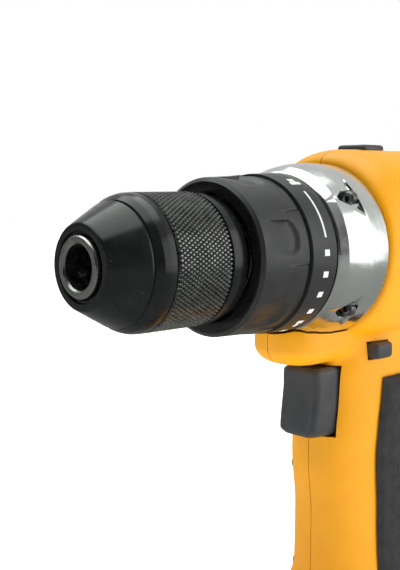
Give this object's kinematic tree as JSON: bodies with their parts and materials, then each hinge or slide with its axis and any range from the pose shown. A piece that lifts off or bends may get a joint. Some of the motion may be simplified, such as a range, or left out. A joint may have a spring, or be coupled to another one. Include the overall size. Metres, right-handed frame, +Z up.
{
  "type": "cordless drill",
  "caption": "Pistol-grip cordless drill-driver with a bored keyless metal chuck, knurled sleeve, ridged torque collar, polished gear case, yellow housing and slide-on battery foot.",
  "frame": {"origin": "centre of the battery's flat underside, which the drill stands on", "axes": "+X forward along the spindle towards the chuck, +Y to the drill's left, +Z up"},
  "size_m": [0.2155, 0.074, 0.2416],
  "materials": {
    "steel_bright": "bright machined",
    "steel_black": "black oxide, satin gloss",
    "steel_grey": "plain steel",
    "alloy_polished": "polished",
    "plastic_black": "satin",
    "plastic_charcoal": "satin",
    "plastic_yellow": "fine satin",
    "rubber_black": "matt",
    "magnet_grey": "dull",
    "copper": "varnished copper on iron laminations",
    "brass": "plated",
    "cell_sleeve": null,
    "lens_clear": "clear",
    "lead_red": "insulated wire",
    "lead_black": "insulated wire"
  },
  "bodies": {
    "drill_body": {"housing_left": "plastic_yellow", "housing_right": "plastic_yellow", "end_cap": "plastic_black", "grip_rubber": "rubber_black", "housing_screw_1": "steel_grey", "housing_screw_2": "steel_grey", "housing_screw_3": "steel_grey", "housing_screw_4": "steel_grey", "housing_screw_5": "steel_grey", "gear_case": "alloy_polished", "gearcase_screw_1": "steel_grey", "gearcase_screw_2": "steel_grey", "gearcase_screw_3": "steel_grey", "gearcase_screw_4": "steel_grey", "ring_gear": "steel_grey", "spindle_bearing": "steel_bright", "clutch_plate": "steel_grey", "clutch_spring": "steel_grey", "motor_can": "steel_bright", "motor_magnet_1": "magnet_grey", "motor_magnet_2": "magnet_grey", "motor_end_bell": "plastic_black", "trigger_switch": "plastic_black", "trigger_spring": "steel_grey", "tool_terminal_block": "brass", "work_light_lens": "lens_clear", "lead_battery_red": "lead_red", "lead_battery_black": "lead_black"},
    "spindle": {"spindle": "steel_grey", "planet_carrier": "steel_grey", "chuck_body": "steel_bright", "chuck_screw": "steel_grey", "chuck_rear_ring": "steel_black"},
    "chuck_sleeve": {"chuck_nose_sleeve": "steel_black", "chuck_grip_sleeve": "steel_black", "chuck_nut": "steel_grey"},
    "jaw_1": {"chuck_jaw_1": "steel_bright"},
    "jaw_2": {"chuck_jaw_2": "steel_bright"},
    "jaw_3": {"chuck_jaw_3": "steel_bright"},
    "planet_1": {"planet_gear_1": "steel_grey"},
    "planet_2": {"planet_gear_2": "steel_grey"},
    "planet_3": {"planet_gear_3": "steel_grey"},
    "rotor": {"motor_shaft": "steel_bright", "armature": "copper", "motor_pinion": "steel_grey", "motor_fan": "plastic_black"},
    "torque_collar": {"torque_collar_grip": "plastic_black", "torque_collar_marks_ring": "plastic_black"},
    "clutch_nut": {"clutch_nut": "plastic_charcoal"},
    "trigger": {"trigger": "plastic_charcoal"},
    "direction_button": {"direction_button": "plastic_charcoal"},
    "speed_selector": {"speed_selector": "plastic_charcoal"},
    "battery": {"battery_case": "plastic_black", "battery_cover": "plastic_black", "battery_cell_1": "cell_sleeve", "battery_cell_2": "cell_sleeve", "battery_cell_3": "cell_sleeve", "battery_cell_4": "cell_sleeve", "battery_cell_5": "cell_sleeve"},
    "release_button": {"battery_release_button": "plastic_yellow"}
  },
  "joints": [
    {"name": "spindle_spin", "type": "hinge", "parent": "drill_body", "child": "spindle", "pos_m": [0.065, 0, 0.203], "axis": [1, 0, 0], "continuous": true},
    {"name": "rotor_spin", "type": "hinge", "parent": "drill_body", "child": "rotor", "pos_m": [-0.011, 0, 0.203], "axis": [1, 0, 0], "continuous": true},
    {"name": "planet_1_spin", "type": "hinge", "parent": "spindle", "child": "planet_1", "pos_m": [0.0275, 0.0136, 0.203], "axis": [1, 0, 0], "continuous": true},
    {"name": "planet_2_spin", "type": "hinge", "parent": "spindle", "child": "planet_2", "pos_m": [0.0275, -0.0068, 0.21477], "axis": [1, 0, 0], "continuous": true},
    {"name": "planet_3_spin", "type": "hinge", "parent": "spindle", "child": "planet_3", "pos_m": [0.0275, -0.0068, 0.19123], "axis": [1, 0, 0], "continuous": true},
    {"name": "sleeve_turn", "type": "hinge", "parent": "spindle", "child": "chuck_sleeve", "pos_m": [0.105, 0, 0.203], "axis": [1, 0, 0], "range_deg": [0, 4032]},
    {"name": "jaw_1_slide", "type": "slide", "parent": "spindle", "child": "jaw_1", "axis": [0.9397, 0.2802, 0.1962], "range_m": [0, 0.0168]},
    {"name": "jaw_2_slide", "type": "slide", "parent": "spindle", "child": "jaw_2", "axis": [0.9397, -0.31, 0.1445], "range_m": [0, 0.0168]},
    {"name": "jaw_3_slide", "type": "slide", "parent": "spindle", "child": "jaw_3", "axis": [0.9397, 0.0298, -0.3407], "range_m": [0, 0.0168]},
    {"name": "collar_turn", "type": "hinge", "parent": "drill_body", "child": "torque_collar", "pos_m": [0.058, 0, 0.203], "axis": [1, 0, 0], "range_deg": [-150, 150]},
    {"name": "clutch_nut_slide", "type": "slide", "parent": "drill_body", "child": "clutch_nut", "axis": [-1, 0, 0], "range_m": [-0.0025, 0.0025], "deforming": ["clutch_spring"]},
    {"name": "trigger_pull", "type": "slide", "parent": "drill_body", "child": "trigger", "axis": [-1, 0, 0], "range_m": [0, 0.007], "stiffness_N_per_m": 900, "springref_m": -0.002, "deforming": ["trigger_spring"]},
    {"name": "direction_slide", "type": "slide", "parent": "drill_body", "child": "direction_button", "axis": [0, 1, 0], "range_m": [-0.003, 0.003]},
    {"name": "speed_slide", "type": "slide", "parent": "drill_body", "child": "speed_selector", "axis": [-1, 0, 0], "range_m": [0, 0.008]},
    {"name": "battery_slide", "type": "slide", "parent": "drill_body", "child": "battery", "axis": [1, 0, 0], "range_m": [0, 0.09]},
    {"name": "release_press", "type": "slide", "parent": "battery", "child": "release_button", "axis": [-1, 0, 0], "range_m": [0, 0.003], "stiffness_N_per_m": 1500, "springref_m": -0.001}
  ],
  "couplings": [
    {"joint": "rotor_spin", "follows": "spindle_spin", "ratio": 4},
    {"joint": "planet_1_spin", "follows": "spindle_spin", "ratio": -3},
    {"joint": "planet_2_spin", "follows": "spindle_spin", "ratio": -3},
    {"joint": "planet_3_spin", "follows": "spindle_spin", "ratio": -3},
    {"joint": "jaw_1_slide", "follows": "sleeve_turn", "m_per_rad": 0.00023871},
    {"joint": "jaw_2_slide", "follows": "sleeve_turn", "m_per_rad": 0.00023871},
    {"joint": "jaw_3_slide", "follows": "sleeve_turn", "m_per_rad": 0.00023871},
    {"joint": "clutch_nut_slide", "follows": "collar_turn", "m_per_rad": 0.00095483}
  ]
}
